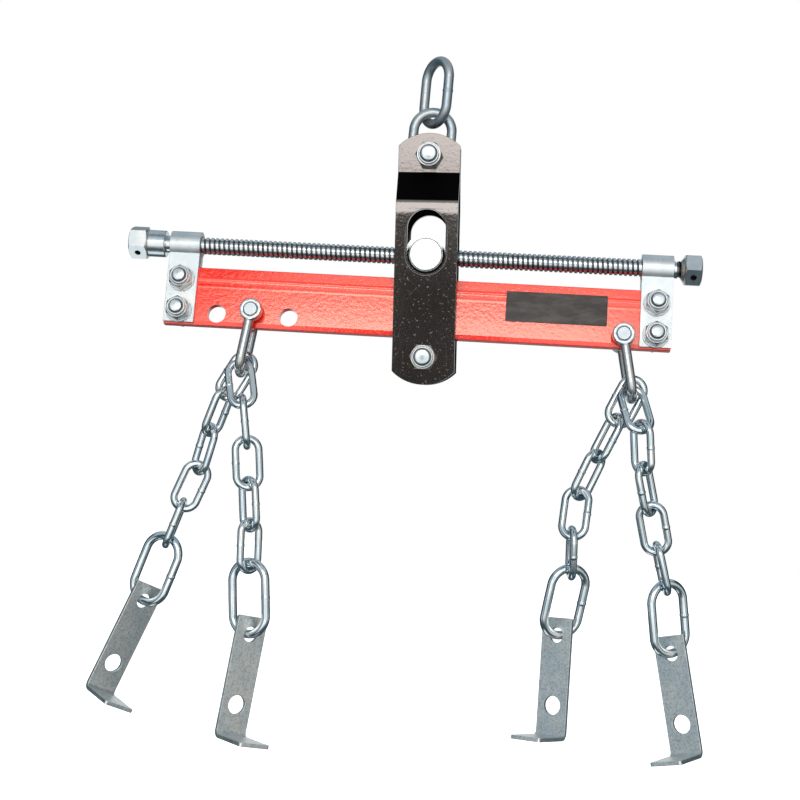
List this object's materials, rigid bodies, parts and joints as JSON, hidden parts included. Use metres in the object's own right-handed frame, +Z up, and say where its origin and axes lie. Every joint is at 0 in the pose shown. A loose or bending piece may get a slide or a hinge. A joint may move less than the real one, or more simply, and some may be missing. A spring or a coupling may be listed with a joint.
{
  "type": "engine load leveler",
  "caption": "Engine load leveler: a red beam on a cranked screw in a black plate hanger, with lifting links, shackles and chains that end in bolt-on brackets.",
  "frame": {"origin": "lifting eye, the middle of the top link's upper bend", "axes": "+Z up, as the part hangs in balance, +X to the right along the beam towards the end with no collar, +Y to the back, away from the pictured side"},
  "size_m": [0.4926, 0.1142, 0.5578],
  "materials": {
    "red_paint": "gloss",
    "black_paint": "satin",
    "zinc_steel": "bright zinc plate",
    "screw_steel": "satin",
    "bush_bronze": "satin",
    "label_film": "satin"
  },
  "bodies": {
    "lifting_link": {"lifting_link": "zinc_steel"},
    "hanger_link": {"hanger_link": "zinc_steel"},
    "hanger": {"front_plate": "black_paint", "rear_plate": "black_paint", "top_bolt": "zinc_steel", "top_nut": "zinc_steel", "top_sleeve": "zinc_steel", "low_bolt": "zinc_steel", "low_nut": "zinc_steel", "low_sleeve": "zinc_steel"},
    "trunnion": {"trunnion_nut": "zinc_steel"},
    "carriage": {"left_bush": "bush_bronze", "right_bush": "bush_bronze"},
    "screw": {"screw_rod": "screw_steel", "left_hex_head": "screw_steel", "right_hex_head": "screw_steel", "left_collar": "screw_steel"},
    "beam": {"beam": "red_paint", "label_plate": "label_film", "left_strap": "zinc_steel", "right_strap": "zinc_steel", "strap_bolts": "zinc_steel", "strap_nuts": "zinc_steel", "strap_washers": "zinc_steel"},
    "left_shackle": {"left_shackle_bow": "zinc_steel", "left_shackle_pin": "zinc_steel"},
    "right_shackle": {"right_shackle_bow": "zinc_steel", "right_shackle_pin": "zinc_steel"},
    "left_front_link_1": {"left_front_link_1": "zinc_steel"},
    "left_front_link_2": {"left_front_link_2": "zinc_steel"},
    "left_front_link_3": {"left_front_link_3": "zinc_steel"},
    "left_front_link_4": {"left_front_link_4": "zinc_steel"},
    "left_front_link_5": {"left_front_link_5": "zinc_steel"},
    "left_front_end_link": {"left_front_end_link": "zinc_steel"},
    "left_front_bracket": {"left_front_bracket": "zinc_steel"},
    "left_rear_link_1": {"left_rear_link_1": "zinc_steel"},
    "left_rear_link_2": {"left_rear_link_2": "zinc_steel"},
    "left_rear_link_3": {"left_rear_link_3": "zinc_steel"},
    "left_rear_link_4": {"left_rear_link_4": "zinc_steel"},
    "left_rear_link_5": {"left_rear_link_5": "zinc_steel"},
    "left_rear_end_link": {"left_rear_end_link": "zinc_steel"},
    "left_rear_bracket": {"left_rear_bracket": "zinc_steel"},
    "right_front_link_1": {"right_front_link_1": "zinc_steel"},
    "right_front_link_2": {"right_front_link_2": "zinc_steel"},
    "right_front_link_3": {"right_front_link_3": "zinc_steel"},
    "right_front_link_4": {"right_front_link_4": "zinc_steel"},
    "right_front_link_5": {"right_front_link_5": "zinc_steel"},
    "right_front_end_link": {"right_front_end_link": "zinc_steel"},
    "right_front_bracket": {"right_front_bracket": "zinc_steel"},
    "right_rear_link_1": {"right_rear_link_1": "zinc_steel"},
    "right_rear_link_2": {"right_rear_link_2": "zinc_steel"},
    "right_rear_link_3": {"right_rear_link_3": "zinc_steel"},
    "right_rear_link_4": {"right_rear_link_4": "zinc_steel"},
    "right_rear_link_5": {"right_rear_link_5": "zinc_steel"},
    "right_rear_end_link": {"right_rear_end_link": "zinc_steel"},
    "right_rear_bracket": {"right_rear_bracket": "zinc_steel"}
  },
  "joints": [
    {"name": "link_crossing", "type": "hinge", "parent": "lifting_link", "child": "hanger_link", "pos_m": [-0.00081, 0.00278, -0.03538], "axis": [0.6318, -0.7715, -0.0751], "range_deg": [-10, 8]},
    {"name": "hanger_swing", "type": "hinge", "parent": "hanger_link", "child": "hanger", "pos_m": [-0.00177, 0.00493, -0.06278], "axis": [-0.0034, 0.9969, 0.0784], "range_deg": [-15, 15]},
    {"name": "trunnion_tilt", "type": "hinge", "parent": "hanger", "child": "trunnion", "pos_m": [0.00175, 0.01128, -0.14345], "axis": [-0.0034, 0.9969, 0.0784], "range_deg": [-16.8, 13.2]},
    {"name": "screw_travel", "type": "slide", "parent": "trunnion", "child": "carriage", "axis": [0.9999, 0.0025, 0.0123], "range_m": [-0.09, 0.08]},
    {"name": "screw_turn", "type": "hinge", "parent": "carriage", "child": "screw", "pos_m": [0.00175, 0.01128, -0.14345], "axis": [0.9999, 0.0025, 0.0123], "range_deg": [-8200, 8200]},
    {"name": "beam_swing", "type": "hinge", "parent": "carriage", "child": "beam", "pos_m": [0.00175, 0.01128, -0.14345], "axis": [0.9999, 0.0025, 0.0123], "range_deg": [-1.5, 24.5]},
    {"name": "left_shackle_swing", "type": "hinge", "parent": "beam", "child": "left_shackle", "pos_m": [-0.13605, 0.00424, -0.19975], "axis": [-0.0009, 0.9925, -0.1219], "range_deg": [-25, 25]},
    {"name": "right_shackle_swing", "type": "hinge", "parent": "beam", "child": "right_shackle", "pos_m": [0.16247, 0.00454, -0.19964], "axis": [-0.0009, 0.9925, -0.1219], "range_deg": [-25, 25]},
    {"name": "left_front_link_1_hinge", "type": "hinge", "parent": "left_shackle", "child": "left_front_link_1", "pos_m": [-0.14159, -0.00618, -0.24764], "axis": [-0.0432, 0.8748, -0.4825], "range_deg": [-8, 12]},
    {"name": "left_front_link_2_hinge", "type": "hinge", "parent": "left_front_link_1", "child": "left_front_link_2", "pos_m": [-0.1339, -0.0176, -0.2762], "axis": [0.9699, 0.1123, 0.2162], "range_deg": [-12, 12]},
    {"name": "left_front_link_3_hinge", "type": "hinge", "parent": "left_front_link_2", "child": "left_front_link_3", "pos_m": [-0.12851, -0.01676, -0.30844], "axis": [0.1661, -0.9861, 0.0022], "range_deg": [-12, 12]},
    {"name": "left_front_link_4_hinge", "type": "hinge", "parent": "left_front_link_3", "child": "left_front_link_4", "pos_m": [-0.12454, -0.01705, -0.3409], "axis": [0.9292, 0.3526, 0.1106], "range_deg": [-12, 12]},
    {"name": "left_front_link_5_hinge", "type": "hinge", "parent": "left_front_link_4", "child": "left_front_link_5", "pos_m": [-0.12056, -0.01706, -0.37335], "axis": [0.6788, -0.7296, 0.0834], "range_deg": [-12, 12]},
    {"name": "left_front_end_link_hinge", "type": "hinge", "parent": "left_front_link_5", "child": "left_front_end_link", "pos_m": [-0.11913, -0.01706, -0.40602], "axis": [0.6012, 0.7986, 0.0263], "range_deg": [-12, 12]},
    {"name": "left_front_bracket_hinge", "type": "hinge", "parent": "left_front_end_link", "child": "left_front_bracket", "pos_m": [-0.11396, -0.01837, -0.45543], "axis": [0.9193, -0.3789, 0.1064], "range_deg": [-12, 12]},
    {"name": "left_rear_link_1_hinge", "type": "hinge", "parent": "left_shackle", "child": "left_rear_link_1", "pos_m": [-0.14162, 0.00234, -0.24884], "axis": [-0.0377, -0.9742, -0.2227], "range_deg": [-6, 5]},
    {"name": "left_rear_link_2_hinge", "type": "hinge", "parent": "left_rear_link_1", "child": "left_rear_link_2", "pos_m": [-0.15381, 0.00035, -0.26937], "axis": [0.8846, -0.1946, -0.4238], "range_deg": [-12, 12]},
    {"name": "left_rear_link_3_hinge", "type": "hinge", "parent": "left_rear_link_2", "child": "left_rear_link_3", "pos_m": [-0.16441, 0.00641, -0.29971], "axis": [0.4372, 0.8989, 0.0269], "range_deg": [-12, 12]},
    {"name": "left_rear_link_4_hinge", "type": "hinge", "parent": "left_rear_link_3", "child": "left_rear_link_4", "pos_m": [-0.17231, 0.01114, -0.33108], "axis": [0.6199, -0.7378, -0.2673], "range_deg": [-12, 12]},
    {"name": "left_rear_link_5_hinge", "type": "hinge", "parent": "left_rear_link_4", "child": "left_rear_link_5", "pos_m": [-0.18403, 0.01263, -0.36157], "axis": [0.8839, 0.3383, -0.323], "range_deg": [-12, 12]},
    {"name": "left_rear_end_link_hinge", "type": "hinge", "parent": "left_rear_link_5", "child": "left_rear_end_link", "pos_m": [-0.19441, 0.01503, -0.39249], "axis": [-0.1025, 0.9885, 0.111], "range_deg": [-12, 12]},
    {"name": "left_rear_bracket_hinge", "type": "hinge", "parent": "left_rear_end_link", "child": "left_rear_bracket", "pos_m": [-0.21018, 0.0191, -0.43944], "axis": [0.9021, -0.2811, -0.3275], "range_deg": [-12, 12]},
    {"name": "right_front_link_1_hinge", "type": "hinge", "parent": "right_shackle", "child": "right_front_link_1", "pos_m": [0.1722, -0.00579, -0.24689], "axis": [0.0733, 0.8756, -0.4775], "range_deg": [-8, 12]},
    {"name": "right_front_link_2_hinge", "type": "hinge", "parent": "right_front_link_1", "child": "right_front_link_2", "pos_m": [0.1802, -0.02, -0.27407], "axis": [0.9537, 0.2649, 0.1421], "range_deg": [-12, 12]},
    {"name": "right_front_link_3_hinge", "type": "hinge", "parent": "right_front_link_2", "child": "right_front_link_3", "pos_m": [0.18389, -0.01631, -0.30635], "axis": [0.5969, -0.802, -0.0236], "range_deg": [-12, 12]},
    {"name": "right_front_link_4_hinge", "type": "hinge", "parent": "right_front_link_3", "child": "right_front_link_4", "pos_m": [0.19248, -0.00846, -0.33691], "axis": [0.463, 0.8184, 0.3404], "range_deg": [-12, 12]},
    {"name": "right_front_link_5_hinge", "type": "hinge", "parent": "right_front_link_4", "child": "right_front_link_5", "pos_m": [0.20079, -0.00033, -0.36748], "axis": [0.9616, -0.1683, 0.2167], "range_deg": [-12, 12]},
    {"name": "right_front_end_link_hinge", "type": "hinge", "parent": "right_front_link_5", "child": "right_front_end_link", "pos_m": [0.20998, 0.00639, -0.39813], "axis": [0.1156, -0.9769, -0.1796], "range_deg": [-12, 12]},
    {"name": "right_front_bracket_hinge", "type": "hinge", "parent": "right_front_end_link", "child": "right_front_bracket", "pos_m": [0.21771, 0.01457, -0.44654], "axis": [0.8469, 0.4855, 0.2171], "range_deg": [-12, 12]},
    {"name": "right_rear_link_1_hinge", "type": "hinge", "parent": "right_shackle", "child": "right_rear_link_1", "pos_m": [0.17222, 0.00273, -0.24808], "axis": [0.0686, -0.9735, -0.2182], "range_deg": [-6, 5]},
    {"name": "right_rear_link_2_hinge", "type": "hinge", "parent": "right_rear_link_1", "child": "right_rear_link_2", "pos_m": [0.16055, 0.00265, -0.26848], "axis": [0.903, 0.1312, -0.4092], "range_deg": [-12, 12]},
    {"name": "right_rear_link_3_hinge", "type": "hinge", "parent": "right_rear_link_2", "child": "right_rear_link_3", "pos_m": [0.14754, 0.00296, -0.29848], "axis": [0.4269, -0.8831, -0.1944], "range_deg": [-12, 12]},
    {"name": "right_rear_link_4_hinge", "type": "hinge", "parent": "right_rear_link_3", "child": "right_rear_link_4", "pos_m": [0.1353, 0.00387, -0.32879], "axis": [0.5871, 0.7808, -0.2136], "range_deg": [-12, 12]},
    {"name": "right_rear_link_5_hinge", "type": "hinge", "parent": "right_rear_link_4", "child": "right_rear_link_5", "pos_m": [0.13287, -0.00295, -0.36068], "axis": [0.9653, -0.2604, -0.018], "range_deg": [-12, 12]},
    {"name": "right_rear_end_link_hinge", "type": "hinge", "parent": "right_rear_link_5", "child": "right_rear_end_link", "pos_m": [0.13423, 0.00716, -0.39175], "axis": [-0.1438, 0.9429, 0.3004], "range_deg": [-12, 12]},
    {"name": "right_rear_bracket_hinge", "type": "hinge", "parent": "right_rear_end_link", "child": "right_rear_bracket", "pos_m": [0.12735, 0.01785, -0.4398], "axis": [0.897, 0.4409, -0.0303], "range_deg": [-12, 12]}
  ],
  "couplings": [
    {"joint": "screw_turn", "follows": "screw_travel", "rad_per_m": 1570.8}
  ]
}
